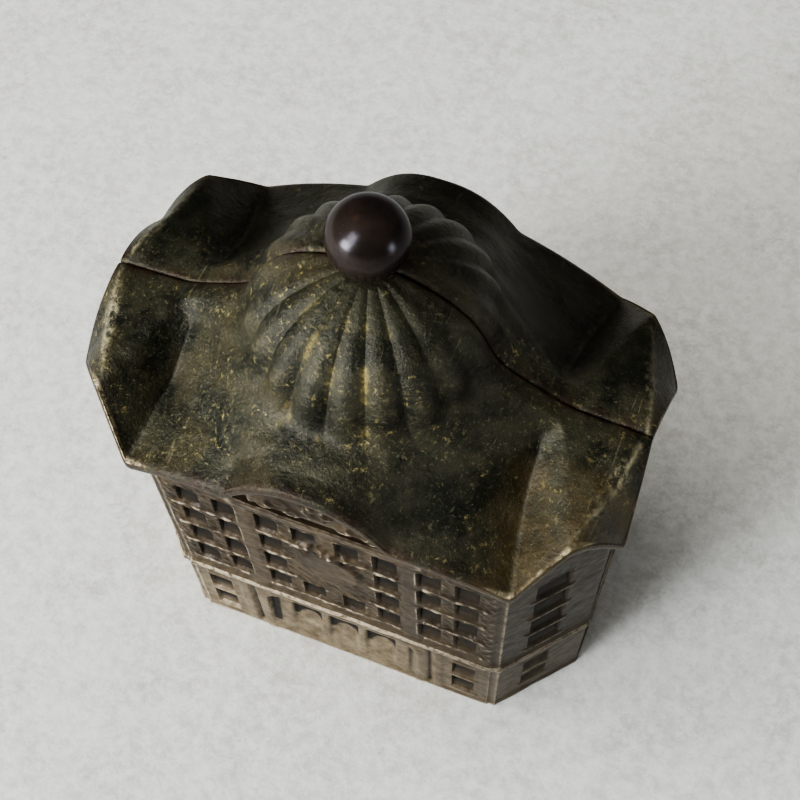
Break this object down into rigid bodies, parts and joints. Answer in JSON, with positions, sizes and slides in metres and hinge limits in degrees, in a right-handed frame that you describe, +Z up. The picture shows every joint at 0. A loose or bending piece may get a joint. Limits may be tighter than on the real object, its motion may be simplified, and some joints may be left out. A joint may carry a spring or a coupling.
{
  "type": "still bank",
  "caption": "Domed building coin bank in two cast iron half shells, with a ribbed dome, a drooping roof, a ball on top and a coin slot.",
  "frame": {"origin": "middle of the base, on the surface that the bank stands on", "axes": "+X along the front wall, -Y out of the front wall with the coin slot, +Z up"},
  "size_m": [0.0912, 0.0598, 0.1207],
  "materials": {
    "wall_finish": "worn silver and tan paint over cast iron, satin",
    "roof_finish": "dark green-black japanned cast iron with worn gold, satin",
    "ball_finish": "smooth dark brown lacquer, glossy",
    "screw_finish": "dulled steel"
  },
  "bodies": {
    "front_half": {"front_casting": "wall_finish", "ball_finial": "ball_finish"},
    "back_half": {"back_casting": "wall_finish"},
    "screw": {"assembly_screw": "screw_finish"}
  },
  "joints": [
    {"name": "halves_apart", "type": "slide", "parent": "front_half", "child": "back_half", "axis": [0, 1, 0], "range_m": [0, 0.06]},
    {"name": "screw_turn", "type": "hinge", "parent": "back_half", "child": "screw", "pos_m": [0, 0.0284, 0.0493], "axis": [0, 1, 0], "continuous": true}
  ]
}
